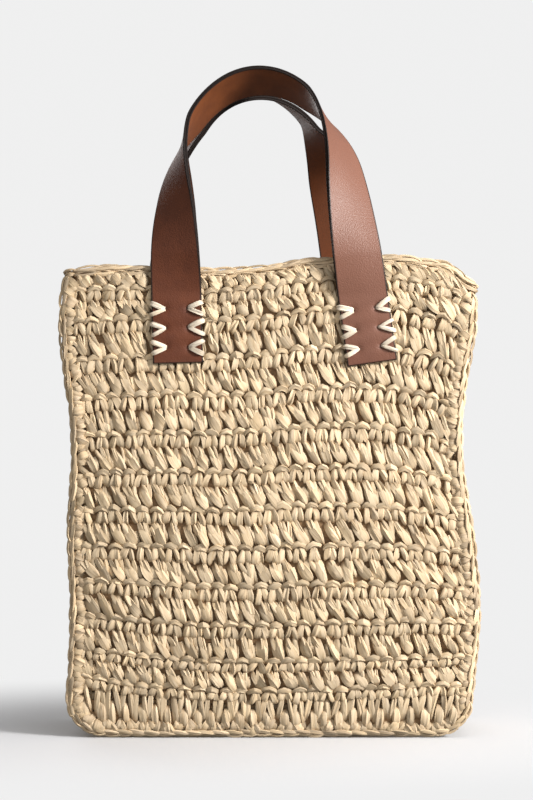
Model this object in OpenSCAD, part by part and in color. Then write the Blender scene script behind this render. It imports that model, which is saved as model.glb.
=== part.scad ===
// Crocheted raffia beach tote with two twisted leather strap handles.
// Millimetres, +Z up, front faces -Y, origin under the middle of the bag on the ground.

/* [Bag body] */
// Overall width across the side seams
bag_w = 334; // [300:2:380]
// Depth from the front seam's face to the back seam's face
bag_d = 104; // [90:2:130]
// Height of the rim at the middle of the bag
rim_h = 379; // [360:1:400]
// How far the hand-worked rim wanders up and down
rim_wave = 5; // [0:0.5:6]
// Radius of the bottom corners
corner_r = 30; // [20:1:45]
// Thickness of one crocheted wall
wall_t = 7; // [5:0.5:9]
// How far the chained seams stand proud of the front and back panels
seam_proud = 2; // [1:0.5:3]
// Height of the chained edging round the mouth
rim_edge_h = 7; // [5:0.5:9]

/* [Straps] */
// Width of the leather strap
strap_w = 40; // [32:1:46]
// Thickness of one leather ply, two of which make the strap
ply_t = 1.75; // [1.4:0.05:2]
// Height of the strap's cut end above the ground
strap_end_z = 300; // [290:1:310]
// Height of the line where the strap bends when the handle folds down
bend_z = 354; // [352:1:356]

/* [Raffia stitches] */
// Pairs of V stitches up each strap end
stitch_rows = 3; // [2:1:3]
// Spacing of the V stitches
stitch_pitch = 15.5; // [13:0.5:15.5]
// Height of the lowest stitch hole above the strap's cut end
first_stitch = 12.5; // [8:0.5:13]
// Distance from the strap's edge to its stitch holes
hole_inset = 10; // [8:0.5:11]
// Width of the raffia strand
strand_w = 3.2; // [2.4:0.1:3.6]
// Thickness of the raffia strand
strand_t = 1.2; // [0.8:0.1:1.2]

/* [Hidden] */
$fn = 48;

raffia = [0.87, 0.79, 0.62];
raffia_dark = [0.80, 0.71, 0.54];
thread_pale = [0.90, 0.86, 0.76];
grain_leather = [0.47, 0.27, 0.19];
tan_leather = [0.60, 0.34, 0.18];

half_w = bag_w / 2;
half_d = bag_d / 2;
seam_w = 7;                              // width of a chained seam
panel_face = half_d - seam_proud;        // distance of the front panel's outer face from the middle
panel_half_w = half_w - seam_w;
wall_top = rim_h - rim_edge_h;
rim_drop = 6;                            // the mouth's corners lie this much lower than its middle
rim_step = 8;                            // spacing of the points along the wandering rim
strap_t = 2 * ply_t;
skin_gap = 0.3;                          // clearance of a moving strap from what it lies on
far = 400;                               // larger than any part of the bag

// The rim climbs to the right of the middle and dips to the left of it.
rim_peak_x = 100;
rim_period = 400;
left_lift = 4.8;                         // the left shoulder stands this much above the wave
left_lift_from = 40;                     // distance left of the middle where the lift begins
left_lift_run = 55;                      // and the length over which it grows
right_lift = 3;                          // so does the rim round the right strap
right_lift_run = 25;                     // growing from the middle over this length
right_lift_to = 126;                     // and gone again here
right_droop = 11;                        // the right corner hangs this much below the wave
right_droop_from = 138;
right_droop_run = 26;
rim_drop_power = 8;                      // how suddenly the corners fall away
function ease(t) = let (u = min(1, max(0, t))) u * u * (3 - 2 * u);
function rim_z(x) = wall_top + rim_wave * cos(360 * (x - rim_peak_x) / rim_period)
    + left_lift * ease((-left_lift_from - x) / left_lift_run)
    + right_lift * ease(x / right_lift_run) * ease((right_lift_to - x) / (right_lift_run - 1))
    - right_droop * ease((x - right_droop_from) / right_droop_run)
    - rim_drop * pow(abs(x) / half_w, rim_drop_power);

// Each handle is [middle of arch x, arch half width, arch height, crown height,
//  left leg slant, right leg slant, lean towards the mouth, height where the left twist ends,
//  height where the right twist ends, share of even twist in the right leg, turn about +Z,
//  extra tilt of the crown].
front_loop = [-8.6, 69, 92, 529.4, -1.4, 8, 11, 495, 515, 0.7, -4.5, 13.5];
back_loop = [-11.7, 64.8, 72.5, 525, 5, 7.8, 12.3, 494, 501, 0.22, -19.7, 1.9];

leg_rings = 18;
arch_rings = 44;
lean_z = 388;                            // the strap leans over the rim from here up
lean_blend = 24;                         // height over which that lean comes in
twist_z = 356;                           // the strap starts to twist here
twist_power = 1.15;                      // how the left leg's twist grows
turn_z = 390;                            // the turn about +Z comes in from here
turn_blend = 100;
tilt_z = 440;                            // the extra tilt comes in from here
tilt_blend = 70;
lift_blend = 80;                         // height over which a twisted leg comes back over the rim
loop_start = bend_z - 4;                 // the swept strap starts below its straight cut
strap_mid_y = panel_face + skin_gap + strap_t / 2;

function clamp01(t) = min(max(t, 0), 1);
function smooth(t) = let(c = clamp01(t)) c * c * (3 - 2 * c);
function unit(v) = v / norm(v);

// Where the arch meets a straight leg that leans out by the slant angle
function leg_angle(h, slant) = atan(h[2] / h[1] * tan(slant));
function arch_x(h, t) = h[0] + h[1] * cos(t);
function arch_z(h, t) = h[3] - h[2] + h[2] * sin(t);
function left_foot_x(h, z) = let(t = 180 - leg_angle(h, h[4]))
    arch_x(h, t) - (arch_z(h, t) - z) * tan(h[4]);
function right_foot_x(h, z) = let(t = leg_angle(h, h[5]))
    arch_x(h, t) + (arch_z(h, t) - z) * tan(h[5]);

// The strap's middle line in the flat, from the left foot over the crown to the right foot
function flat_route(h) = let(
        tl = 180 - leg_angle(h, h[4]), tr = leg_angle(h, h[5]),
        fl = [left_foot_x(h, loop_start), loop_start], fr = [right_foot_x(h, loop_start), loop_start],
        pl = [arch_x(h, tl), arch_z(h, tl)], pr = [arch_x(h, tr), arch_z(h, tr)])
    concat([for (i = [0 : leg_rings - 1]) fl + (pl - fl) * i / leg_rings],
           [for (i = [0 : arch_rings]) let(t = tl + (tr - tl) * i / arch_rings) [arch_x(h, t), arch_z(h, t)]],
           [for (i = [1 : leg_rings]) pr + (fr - pr) * i / leg_rings]);

function is_left(i) = i < leg_rings + arch_rings / 2;
function twist(h, z, left) = left
    ? 90 * pow(clamp01((z - twist_z) / (h[7] - twist_z)), twist_power)
    : let(t = clamp01((z - twist_z) / (h[8] - twist_z))) 90 * (h[9] * t + (1 - h[9]) * pow(t, 3));
function lean_y(h, z) = z < lean_z ? 0
    : z < lean_z + lean_blend ? tan(h[6]) * pow(z - lean_z, 2) / (2 * lean_blend)
    : tan(h[6]) * (z - lean_z - lean_blend / 2);
function turn(h, z) = h[10] * smooth((z - turn_z) / turn_blend);
function tilt(h, z) = atan(tan(h[6]) * clamp01((z - lean_z) / lean_blend))
    + h[11] * smooth((z - tilt_z) / tilt_blend);
function lift(h, z, left) = strap_w / 2 * sin(twist(h, min(z, lean_z), left))
    * (1 - smooth((z - lean_z) / lift_blend));

function route_point(h, p, left) = let(q = turn(h, p[1]), dx = p[0] - h[0])
    [h[0] + dx * cos(q), lean_y(h, p[1]) - strap_mid_y - lift(h, p[1], left) + dx * sin(q), p[1]];
function route(h) = let(flat = flat_route(h))
    [for (i = [0 : len(flat) - 1]) route_point(h, flat[i], is_left(i))];

// Across and out directions of the strap at ring i
function frames(h) = let(flat = flat_route(h), r = route(h), last = len(r) - 1)
    [for (i = [0 : last]) let(
        t = unit(r[min(i + 1, last)] - r[max(i - 1, 0)]),
        q = turn(h, flat[i][1]), a = tilt(h, flat[i][1]),
        face0 = [sin(q) * cos(a), -cos(q) * cos(a), sin(a)],
        face = unit(face0 - t * (face0 * t)),
        w = twist(h, flat[i][1], is_left(i)),
        out = cos(w) * face - sin(w) * cross(t, face))
        [r[i], cross(t, out), out]];

// One ply of the strap, between two distances from the strap's middle surface
module ply_sweep(h, low, high) {
    f = frames(h);
    n = len(f);
    points = [for (k = f) each [
        k[0] - k[1] * strap_w / 2 + k[2] * low,
        k[0] + k[1] * strap_w / 2 + k[2] * low,
        k[0] + k[1] * strap_w / 2 + k[2] * high,
        k[0] - k[1] * strap_w / 2 + k[2] * high]];
    // The diagonal of each quad depends only on its edge, so two plies share one surface exactly.
    function side(i, a, b, flip) = let(p = 4 * i + a, q = 4 * i + b)
        flip ? [[p, q, p + 4], [q, q + 4, p + 4]] : [[p, q, q + 4], [p, q + 4, p + 4]];
    faces = concat([[3, 2, 1], [3, 1, 0]],
        [for (i = [0 : n - 2]) each concat(
            side(i, 0, 1, false), side(i, 1, 2, false), side(i, 2, 3, true), side(i, 3, 0, false))],
        [let(e = 4 * (n - 1)) [e, e + 1, e + 2], let(e = 4 * (n - 1)) [e, e + 2, e + 3]]);
    polyhedron(points, faces);
}

// The moving part of one ply, cut straight along the fold line
module loop_ply(h, low, high) intersection() {
    ply_sweep(h, low, high);
    translate([-far, -far, bend_z + skin_gap]) cube(2 * far);
}

// ---- crocheted body ----

module outline(inset) {
    r = corner_r - inset;
    translate([-half_w + corner_r, corner_r]) circle(r);
    translate([half_w - corner_r, corner_r]) circle(r);
    translate([-half_w + corner_r, inset]) square([bag_w - 2 * corner_r, corner_r]);
    translate([-half_w + inset, corner_r]) square([bag_w - 2 * inset, wall_top - corner_r + far]);
}

// Everything under the wandering rim, or under a line a little above it
module under_rim(extra) polygon(concat(
    [[-half_w, -1], [half_w, -1]],
    [for (x = [half_w : -rim_step : -half_w]) [x, rim_z(x) + extra]],
    [[-half_w, rim_z(-half_w) + extra]]));

// A flat outline in X and Z made into a wall between two distances from the middle
module wall(near, away) translate([0, -near, 0]) rotate([90, 0, 0]) linear_extrude(away - near) children();

module panel() color(raffia) wall(panel_face - wall_t, panel_face) intersection() {
    outline(seam_w);
    under_rim(0);
}

module seam() color(raffia_dark) wall(panel_face - wall_t, half_d) intersection() {
    difference() {
        outline(0);
        outline(seam_w);
    }
    under_rim(0);
}

gusset_half_d = panel_face - wall_t;
function gusset_top(side) = rim_z(side * half_w);

module gusset(side) color(raffia)
    translate([side > 0 ? half_w - wall_t : -half_w, -gusset_half_d, corner_r])
        cube([wall_t, 2 * gusset_half_d, gusset_top(side) - corner_r]);

module base() color(raffia) translate([0, gusset_half_d, 0]) rotate([90, 0, 0])
    linear_extrude(2 * gusset_half_d) intersection() {
        difference() {
            outline(0);
            outline(wall_t);
        }
        translate([-half_w, 0]) square([bag_w, corner_r]);
    }

module rim_wall() wall(panel_face - wall_t, panel_face) difference() {
    under_rim(rim_edge_h);
    under_rim(0);
}

module rim() color(raffia_dark) {
    rim_wall();
    mirror([0, 1, 0]) rim_wall();
    for (side = [-1, 1])
        translate([side > 0 ? half_w - wall_t : -half_w, -gusset_half_d, gusset_top(side)])
            cube([wall_t, 2 * gusset_half_d, rim_edge_h]);
}

// ---- sewn strap ends ----

// Puts a flat strap end on the panel's face: X across the strap, Y out of the bag, Z up the strap,
// with its middle line through the foot of the leg and its own slant
module on_end(foot_x, slant) translate([foot_x, -panel_face, bend_z]) rotate([0, slant, 0]) mirror([0, 1, 0])
    children();

end_len = bend_z - strap_end_z;
hole_r = 1.6;
strand_r = 1.4;
function hole_z(row) = -end_len + first_stitch + row * stitch_pitch;
hole_x = strap_w / 2 - hole_inset;

module end_ply(foot_x, slant, inner) color(inner ? tan_leather : grain_leather) intersection() {
    on_end(foot_x, slant) difference() {
        translate([-strap_w / 2, inner ? 0 : ply_t, -end_len]) cube([strap_w, ply_t, end_len + 2 * hole_inset]);
        for (row = [0 : stitch_rows - 1], x = [-hole_x, hole_x])
            translate([x, strap_t + 1, hole_z(row)]) rotate([90, 0, 0]) cylinder(h = strap_t + 2, r = hole_r);
    }
    translate([-far, -far, bend_z - far]) cube([2 * far, 2 * far, far]);
}

// One arm of a V: flat on the leather from its hole to past the strap's edge, then down into the crochet
reach = 3;                               // how far a stitch goes past the strap's edge
spread = 5.2;                            // how far an arm climbs or falls on its way
edge_clear = 0.8;                        // how far past the strap's edge the strand turns down
module arm(up) {
    run = hole_inset + reach;
    slope = atan(up * spread / run);
    rotate([0, -slope, 0]) {
        translate([0, strap_t, -strand_w / 2]) cube([run / cos(slope), strand_t, strand_w]);
        translate([run / cos(slope) - reach + edge_clear, 0, -strand_w / 2])
            cube([reach - edge_clear, strap_t, strand_w]);
    }
}

module v_stitch() {
    for (up = [-1, 1]) arm(up);
    translate([0, strap_t + strand_t, 0]) rotate([90, 0, 0]) cylinder(h = strap_t + strand_t, r = strand_r);
}

module stitches(foot_x, slant) color(thread_pale) on_end(foot_x, slant)
    for (row = [0 : stitch_rows - 1], side = [0, 1]) mirror([side, 0, 0])
        translate([hole_x, 0, hole_z(row)]) v_stitch();

front_left_x = left_foot_x(front_loop, bend_z);
front_right_x = right_foot_x(front_loop, bend_z);
back_left_x = left_foot_x(back_loop, bend_z);
back_right_x = right_foot_x(back_loop, bend_z);
front_left_slant = front_loop[4];
front_right_slant = -front_loop[5];
back_left_slant = back_loop[4];
back_right_slant = -back_loop[5];

// ---- named sub-parts ----

module front_panel() panel();
module back_panel() mirror([0, 1, 0]) panel();
module left_gusset() gusset(-1);
module right_gusset() gusset(1);
module base_panel() base();
module front_seam() seam();
module back_seam() mirror([0, 1, 0]) seam();
module rim_edging() rim();

module front_handle_outer_ply() color(grain_leather) loop_ply(front_loop, 0, ply_t);
module front_handle_inner_ply() color(tan_leather) loop_ply(front_loop, -ply_t, 0);
module back_handle_outer_ply() color(grain_leather) mirror([0, 1, 0]) loop_ply(back_loop, 0, ply_t);
module back_handle_inner_ply() color(tan_leather) mirror([0, 1, 0]) loop_ply(back_loop, -ply_t, 0);

module front_left_end_outer_ply() end_ply(front_left_x, front_left_slant, false);
module front_left_end_inner_ply() end_ply(front_left_x, front_left_slant, true);
module front_right_end_outer_ply() end_ply(front_right_x, front_right_slant, false);
module front_right_end_inner_ply() end_ply(front_right_x, front_right_slant, true);
module back_left_end_outer_ply() mirror([0, 1, 0]) end_ply(back_left_x, back_left_slant, false);
module back_left_end_inner_ply() mirror([0, 1, 0]) end_ply(back_left_x, back_left_slant, true);
module back_right_end_outer_ply() mirror([0, 1, 0]) end_ply(back_right_x, back_right_slant, false);
module back_right_end_inner_ply() mirror([0, 1, 0]) end_ply(back_right_x, back_right_slant, true);

module front_left_stitches() stitches(front_left_x, front_left_slant);
module front_right_stitches() stitches(front_right_x, front_right_slant);
module back_left_stitches() mirror([0, 1, 0]) stitches(back_left_x, back_left_slant);
module back_right_stitches() mirror([0, 1, 0]) stitches(back_right_x, back_right_slant);

front_panel();
back_panel();
left_gusset();
right_gusset();
base_panel();
front_seam();
back_seam();
rim_edging();
front_handle_outer_ply();
front_handle_inner_ply();
back_handle_outer_ply();
back_handle_inner_ply();
front_left_end_outer_ply();
front_left_end_inner_ply();
front_right_end_outer_ply();
front_right_end_inner_ply();
back_left_end_outer_ply();
back_left_end_inner_ply();
back_right_end_outer_ply();
back_right_end_inner_ply();
front_left_stitches();
front_right_stitches();
back_left_stitches();
back_right_stitches();
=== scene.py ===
import math

import bpy
import numpy as np
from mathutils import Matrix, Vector

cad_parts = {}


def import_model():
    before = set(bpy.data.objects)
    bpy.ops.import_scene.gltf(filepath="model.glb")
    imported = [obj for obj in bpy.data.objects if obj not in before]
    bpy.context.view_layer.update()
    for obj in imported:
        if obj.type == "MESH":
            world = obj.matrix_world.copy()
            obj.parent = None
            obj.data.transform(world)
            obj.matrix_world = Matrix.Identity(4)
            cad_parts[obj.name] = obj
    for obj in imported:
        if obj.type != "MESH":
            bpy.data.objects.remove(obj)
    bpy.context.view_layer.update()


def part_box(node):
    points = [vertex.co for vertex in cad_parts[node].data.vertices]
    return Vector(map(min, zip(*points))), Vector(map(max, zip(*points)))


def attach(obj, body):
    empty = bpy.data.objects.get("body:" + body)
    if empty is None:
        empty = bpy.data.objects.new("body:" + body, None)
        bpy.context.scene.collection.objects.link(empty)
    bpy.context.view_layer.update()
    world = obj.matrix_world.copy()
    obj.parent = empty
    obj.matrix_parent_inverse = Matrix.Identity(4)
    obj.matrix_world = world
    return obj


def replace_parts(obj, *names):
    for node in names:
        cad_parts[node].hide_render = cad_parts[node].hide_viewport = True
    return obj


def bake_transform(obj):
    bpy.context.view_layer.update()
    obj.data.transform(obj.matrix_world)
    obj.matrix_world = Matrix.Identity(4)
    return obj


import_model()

MM = 0.001
rng = np.random.default_rng(11)

# ---- bag dimensions, metres

half_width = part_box("right_gusset")[1].x
half_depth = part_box("back_panel")[1].y
corner_r = 30 * MM                       # the panels' rounded bottom corners
wall_mid = half_depth - 3.2 * MM         # middle surface of the outer layer of stitches
inner_layer = 3.6 * MM                   # the inner layer of stitches lies this far behind it
panel_inset = 9.5 * MM                   # panel rows stop this far inside the seams' outer edge
bottom_row_z = 8.5 * MM
rim_chain_h = 6.5 * MM
stitches_across = 27
gusset_stitches = 7
gusset_row_h = 14.9 * MM
probe = 0.002                            # step that slopes are measured over, in metres or as a share

# The mouth's edge is a slow wave, with both shoulders lifted and the right corner drooping
rim_top = 379 * MM
rim_wave = 5 * MM
rim_peak_x = 100 * MM
rim_period = 400 * MM
rim_drop = 6 * MM
rim_drop_power = 8
left_lift = 4.8 * MM
left_lift_from = 40 * MM
left_lift_run = 55 * MM
right_lift = 3 * MM
right_lift_grow = 25 * MM
right_lift_to = 126 * MM
right_lift_fade = 24 * MM
right_droop = 11 * MM
right_droop_from = 138 * MM
right_droop_run = 26 * MM

# Where the left and right edges of the standing bag are, from the ground up
edge_heights = np.array([0, 45, 95, 160, 245, 290, 335, 385]) * MM
left_edge_x = np.array([162.5, 164, 161.5, 163, 161, 166, 170, 165]) * MM
right_edge_x = np.array([158, 163.5, 168.5, 163, 154, 158, 165.5, 163.5]) * MM

# ---- small maths


def unit(v):
    """Vectors made one unit long."""
    return v / np.maximum(np.linalg.norm(v, axis=-1, keepdims=True), 1e-12)


def smooth(t):
    """0 up to 0, 1 from 1 on, and a soft step between."""
    c = np.clip(t, 0, 1)
    return c * c * (3 - 2 * c)


def smooth_through(at, xs, ys):
    """A soft curve through (xs, ys), read at the places `at`."""
    slopes = np.gradient(ys, xs)
    i = np.clip(np.searchsorted(xs, at) - 1, 0, len(xs) - 2)
    h = xs[i + 1] - xs[i]
    t = np.clip((at - xs[i]) / h, 0, 1)
    rise = (2 * t**3 - 3 * t**2 + 1) * ys[i] + (3 * t**2 - 2 * t**3) * ys[i + 1]
    return rise + h * ((t**3 - 2 * t**2 + t) * slopes[i] + (t**3 - t**2) * slopes[i + 1])


def through_points(points, count):
    """`count` rows on a smooth curve through the rows of `points`."""
    p = np.asarray(points, float)
    p = np.vstack([2 * p[0] - p[1], p, 2 * p[-1] - p[-2]])
    t = np.linspace(0, len(points) - 1, count)
    i = np.minimum(t.astype(int), len(points) - 2)
    f = (t - i)[:, None]
    a, b, c, d = p[i], p[i + 1], p[i + 2], p[i + 3]
    bend = (2 * a - 5 * b + 4 * c - d) * f**2
    return 0.5 * (2 * b + (c - a) * f + bend + (3 * b - a - 3 * c + d) * f**3)


def distance_along(points):
    """How far along a run of points each of them is."""
    return np.concatenate([[0], np.cumsum(np.linalg.norm(np.diff(points, axis=0), axis=1))])


def read_rows(at, places, rows):
    """Rows of three numbers that are known at the places, read in between."""
    return np.stack([np.interp(at, places, rows[:, k]) for k in range(3)], -1)


def soften(rows, passes=6):
    """Evens out a run of rows without moving its ends."""
    rows = rows.copy()
    for _ in range(passes):
        rows[1:-1] = (rows[:-2] + 2 * rows[1:-1] + rows[2:]) / 4
    return rows


def wander(u, v, size, seed):
    """Slow, seeded unevenness of hand work, between about -1 and 1, over lengths of about `size`."""
    phases = np.random.default_rng(seed).uniform(0, 2 * math.pi, (5, 2))
    total = 0
    for k, (p, q) in enumerate(phases):
        f = 2 * math.pi / size / (1 + 0.37 * k)
        total = total + np.sin(f * (u * math.cos(p) + v * math.sin(p)) + q)
    return total / 3


# ---- strands of raffia


class Strands:
    """Flat raffia strands, gathered in batches and made into one mesh."""

    def __init__(self, sides=8):
        self.sides = sides
        self.batches = []

    def add(self, centre, normal, width, thick, tone, hue, painted_shade):
        """centre and normal are (strands, rings, 3), and width and thick are half sizes. Each strand has
        one tone and hue. The last value, per ring, is how much painted shade darkens it."""
        width, thick, painted_shade = (np.broadcast_to(v, centre.shape[:2]) for v in (width, thick, painted_shade))
        self.batches.append((centre, normal, width, thick, tone, hue, painted_shade))

    def build(self, name, material):
        """All strands as one mesh object: uneven tubes with closed ends, and UVs in metres."""
        n = self.sides
        turn = 2 * math.pi * (np.arange(n) + 0.5) / n
        across = np.sign(np.cos(turn)) * np.abs(np.cos(turn)) ** 0.8
        out = np.sign(np.sin(turn)) * np.abs(np.sin(turn)) ** 0.75
        verts, marks, loops, totals, uvs = [], [], [], [], []
        base = 0
        for centre, normal, width, thick, tone, hue, painted_shade in self.batches:
            s, k = centre.shape[:2]
            along = unit(np.gradient(centre, axis=1))
            side = unit(np.cross(along, normal))
            up = np.cross(side, along)
            fold = 1 + rng.uniform(-0.55, 0.25, (s, 1, n)) + rng.uniform(-0.14, 0.14, (s, k, n))
            edge = 1 + rng.uniform(-0.16, 0.08, (s, 1, n))
            rings = (centre[:, :, None] + side[:, :, None] * (width[:, :, None] * across * edge)[..., None]
                     + up[:, :, None] * (thick[:, :, None] * out * fold)[..., None])
            verts.append(rings.reshape(-1, 3))
            mark = np.ones((s, k, n, 4))
            mark[..., 0] = tone[:, None, None]
            mark[..., 1] = hue[:, None, None]
            # the third mark is the amount of painted shade
            mark[..., 2] = painted_shade[:, :, None]
            marks.append(mark.reshape(-1, 4))

            first = base + np.arange(s)[:, None, None] * k * n
            r = np.arange(k - 1)[None, :, None] * n
            j = np.arange(n)[None, None, :]
            j2 = (j + 1) % n
            quads = np.stack([first + r + j, first + r + j2, first + r + n + j2, first + r + n + j], -1)
            loops.append(quads.reshape(-1))
            totals.append(np.full(s * (k - 1) * n, 4))
            start = first[:, :, 0] + np.arange(n)[::-1]
            finish = first[:, :, 0] + (k - 1) * n + np.arange(n)
            loops.append(np.concatenate([start, finish], 1).reshape(-1))
            totals.append(np.full(2 * s, n))

            step = np.linalg.norm(np.diff(centre, axis=1), axis=-1)
            length = np.concatenate([np.zeros((s, 1)), np.cumsum(step, 1)], 1) + rng.uniform(0, 3, (s, 1))
            girth = 4 * width.mean(1)
            shift = rng.uniform(0, 3, s)
            lo, hi = length[:, :-1, None], length[:, 1:, None]
            va = shift[:, None, None] + girth[:, None, None] * j / n
            vb = shift[:, None, None] + girth[:, None, None] * (j + 1) / n
            uvs.append(quad_uvs((lo, lo, hi, hi), (va, vb, vb, va)))
            ends = np.concatenate([np.repeat(length[:, :1], n, 1), np.repeat(length[:, -1:], n, 1)], 1)
            ring_v = shift[:, None] + girth[:, None] * np.arange(n) / n
            cap_uv = np.stack([ends, np.concatenate([ring_v[:, ::-1], ring_v], 1)], -1)
            uvs.append(cap_uv.reshape(-1, 2))
            base += s * k * n
        arrays = [np.concatenate(part) for part in (verts, loops, totals, uvs, marks)]
        return new_mesh(name, *arrays, [material], sharp=34)


def quad_uvs(along, across):
    """UVs of quads from the values along and across at their four corners."""
    values = np.broadcast_arrays(*along, *across)
    return np.stack([np.stack(values[:4], -1), np.stack(values[4:], -1)], -1).reshape(-1, 2)


def new_object(name, data):
    thing = bpy.data.objects.new(name, data)
    bpy.context.scene.collection.objects.link(thing)
    return thing


def new_mesh(name, verts, loops, totals, uvs, marks, materials, material_index=None, sharp=None):
    """A smooth-shaded mesh object from flat arrays."""
    mesh = bpy.data.meshes.new(name)
    mesh.vertices.add(len(verts))
    mesh.vertices.foreach_set("co", verts.astype(np.float32).ravel())
    mesh.loops.add(len(loops))
    mesh.loops.foreach_set("vertex_index", loops.astype(np.int32))
    mesh.polygons.add(len(totals))
    mesh.polygons.foreach_set("loop_start", np.concatenate([[0], np.cumsum(totals)[:-1]]).astype(np.int32))
    layer = mesh.uv_layers.new(name="UVMap")
    layer.data.foreach_set("uv", uvs.astype(np.float32).ravel())
    colour = mesh.color_attributes.new("strand", "FLOAT_COLOR", "POINT")
    colour.data.foreach_set("color", marks.astype(np.float32).ravel())
    for m in materials:
        mesh.materials.append(m)
    if material_index is not None:
        mesh.polygons.foreach_set("material_index", material_index.astype(np.int32))
    mesh.update(calc_edges=True)
    mesh.shade_smooth()
    if sharp is not None:
        mesh.set_sharp_from_angle(angle=math.radians(sharp))
    return new_object(name, mesh)


def bag_piece(strands, name, material):
    """Builds the strands as a piece that stays with the bag."""
    piece = strands.build(name, material)
    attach(piece, "bag")
    return piece


# ---- materials


class Nodes:
    """Short names for building the node tree of a material or world."""

    def __init__(self, owner):
        self.owner = owner
        owner.use_nodes = True
        self.tree = owner.node_tree
        self.shader = self.tree.nodes.get("Principled BSDF")

    def node(self, kind, **inputs):
        n = self.tree.nodes.new(kind)
        for key, value in inputs.items():
            self.set(n, key, value)
        return n

    def set(self, n, key, value):
        """Links or sets one input; a colour is given without its alpha."""
        socket = n.inputs[key]
        if isinstance(value, bpy.types.NodeSocket):
            self.tree.links.new(value, socket)
        elif socket.type == "RGBA":
            socket.default_value = (*value, 1)
        else:
            socket.default_value = value

    def finish(self, roughness, specular, colour, normal):
        """The finished material, from the shader's inputs."""
        self.set(self.shader, "Roughness", roughness)
        self.set(self.shader, "Specular IOR Level", specular)
        self.set(self.shader, "Base Color", colour)
        self.set(self.shader, "Normal", normal)
        return self.owner

    def math(self, operation, a, b=0.0):
        n = self.tree.nodes.new("ShaderNodeMath")
        n.operation = operation
        self.set(n, 0, a)
        self.set(n, 1, b)
        return n.outputs[0]

    def times(self, a, b):
        return self.math("MULTIPLY", a, b)

    def plus(self, a, b):
        return self.math("ADD", a, b)

    def minus(self, a, b):
        return self.math("SUBTRACT", a, b)

    def mix(self, factor, a, b, blend="MIX"):
        n = self.tree.nodes.new("ShaderNodeMix")
        n.data_type = "RGBA"
        n.blend_type = blend
        factor_in, colour_a, colour_b, colour_out = 0, 6, 7, 2
        self.set(n, factor_in, factor)
        self.set(n, colour_a, a)
        self.set(n, colour_b, b)
        return n.outputs[colour_out]

    def mix_shaders(self, output, factor, a, b):
        """Sends shader a, or shader b where the factor is 1, to the output."""
        n = self.tree.nodes.new("ShaderNodeMixShader")
        for socket, value in enumerate((factor, a.outputs[0], b.outputs[0])):
            self.set(n, socket, value)
        self.set(self.tree.nodes[output], "Surface", n.outputs[0])

    def vector_math(self, operation):
        n = self.tree.nodes.new("ShaderNodeVectorMath")
        n.operation = operation
        return n

    def ramp(self, value, low, high):
        """0 at low and below, 1 at high and above."""
        n = self.node("ShaderNodeValToRGB", Fac=value)
        for element, place, grey in zip(n.color_ramp.elements, (low, high), (0, 1)):
            element.position = place
            element.color = (grey, grey, grey, 1)
        return n.outputs[0]

    def scaled_uv(self, along, across):
        uv = self.node("ShaderNodeUVMap")
        uv.uv_map = "UVMap"
        return self.node("ShaderNodeMapping", Vector=uv.outputs[0], Scale=(along, across, 1)).outputs[0]

    def noise(self, vector, scale, detail=2.0, roughness=0.5):
        n = self.node("ShaderNodeTexNoise", Vector=vector, Scale=scale, Detail=detail, Roughness=roughness)
        return n.outputs["Fac"]

    def marks(self):
        """The three numbers that every mesh point carries."""
        n = self.tree.nodes.new("ShaderNodeAttribute")
        n.attribute_name = "strand"
        return self.node("ShaderNodeSeparateColor", Color=n.outputs["Color"]).outputs

    def bump(self, height, strength, distance, below=None):
        n = self.node("ShaderNodeBump", Height=height, Strength=strength, Distance=distance)
        if below is not None:
            self.set(n, "Normal", below)
        return n.outputs[0]


def raffia_material(name, pale, straw, painted_shade_colour):
    """Matt paper ribbon: long fine fibres and folds along each strand, each strand its own tone. Its last
    colour is a painted shade colour, laid along the crease lines and wherever the strands' third mark asks
    for painted shade.
    """
    fold_depth, crease_depth, fibre_depth = 0.35 * MM, 0.175 * MM, 0.08 * MM
    m = Nodes(bpy.data.materials.new(name))
    tone, hue, painted_shade = m.marks()
    folds = m.noise(m.scaled_uv(30, 620), 1, 3, 0.6)
    crease = m.math("ABSOLUTE", m.minus(m.noise(m.scaled_uv(45, 430), 1, 1), 0.5))
    crease = m.ramp(crease, 0.0, 0.07)
    fibres = m.noise(m.scaled_uv(140, 2600), 1, 3, 0.6)
    blotch = m.noise(m.scaled_uv(160, 160), 1, 2)
    colour = m.mix(m.ramp(folds, 0.35, 0.68), pale, straw)
    colour = m.mix(m.times(m.ramp(fibres, 0.5, 0.8), 0.35), colour, straw)
    # painted shade along the crease lines
    colour = m.mix(m.times(m.minus(1.0, crease), 0.22), colour, painted_shade_colour)
    colour = m.mix(m.times(hue, 0.5), colour, (0.74, 0.56, 0.32))
    colour = m.mix(m.times(m.ramp(blotch, 0.5, 0.75), 0.25), colour, (0.66, 0.50, 0.30))
    light = m.plus(m.times(tone, 0.34), 0.80)
    shade = m.node("ShaderNodeCombineColor", Red=light, Green=light, Blue=light)
    colour = m.mix(1.0, colour, shade.outputs[0], "MULTIPLY")
    # painted shade on the parts of strands that lie low, tucked or hidden
    colour = m.mix(painted_shade, colour, painted_shade_colour)
    normal = m.bump(crease, 0.7, crease_depth, m.bump(folds, 1.0, fold_depth))
    return m.finish(0.62, 0.32, colour, m.bump(fibres, 0.5, fibre_depth, normal))


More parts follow.
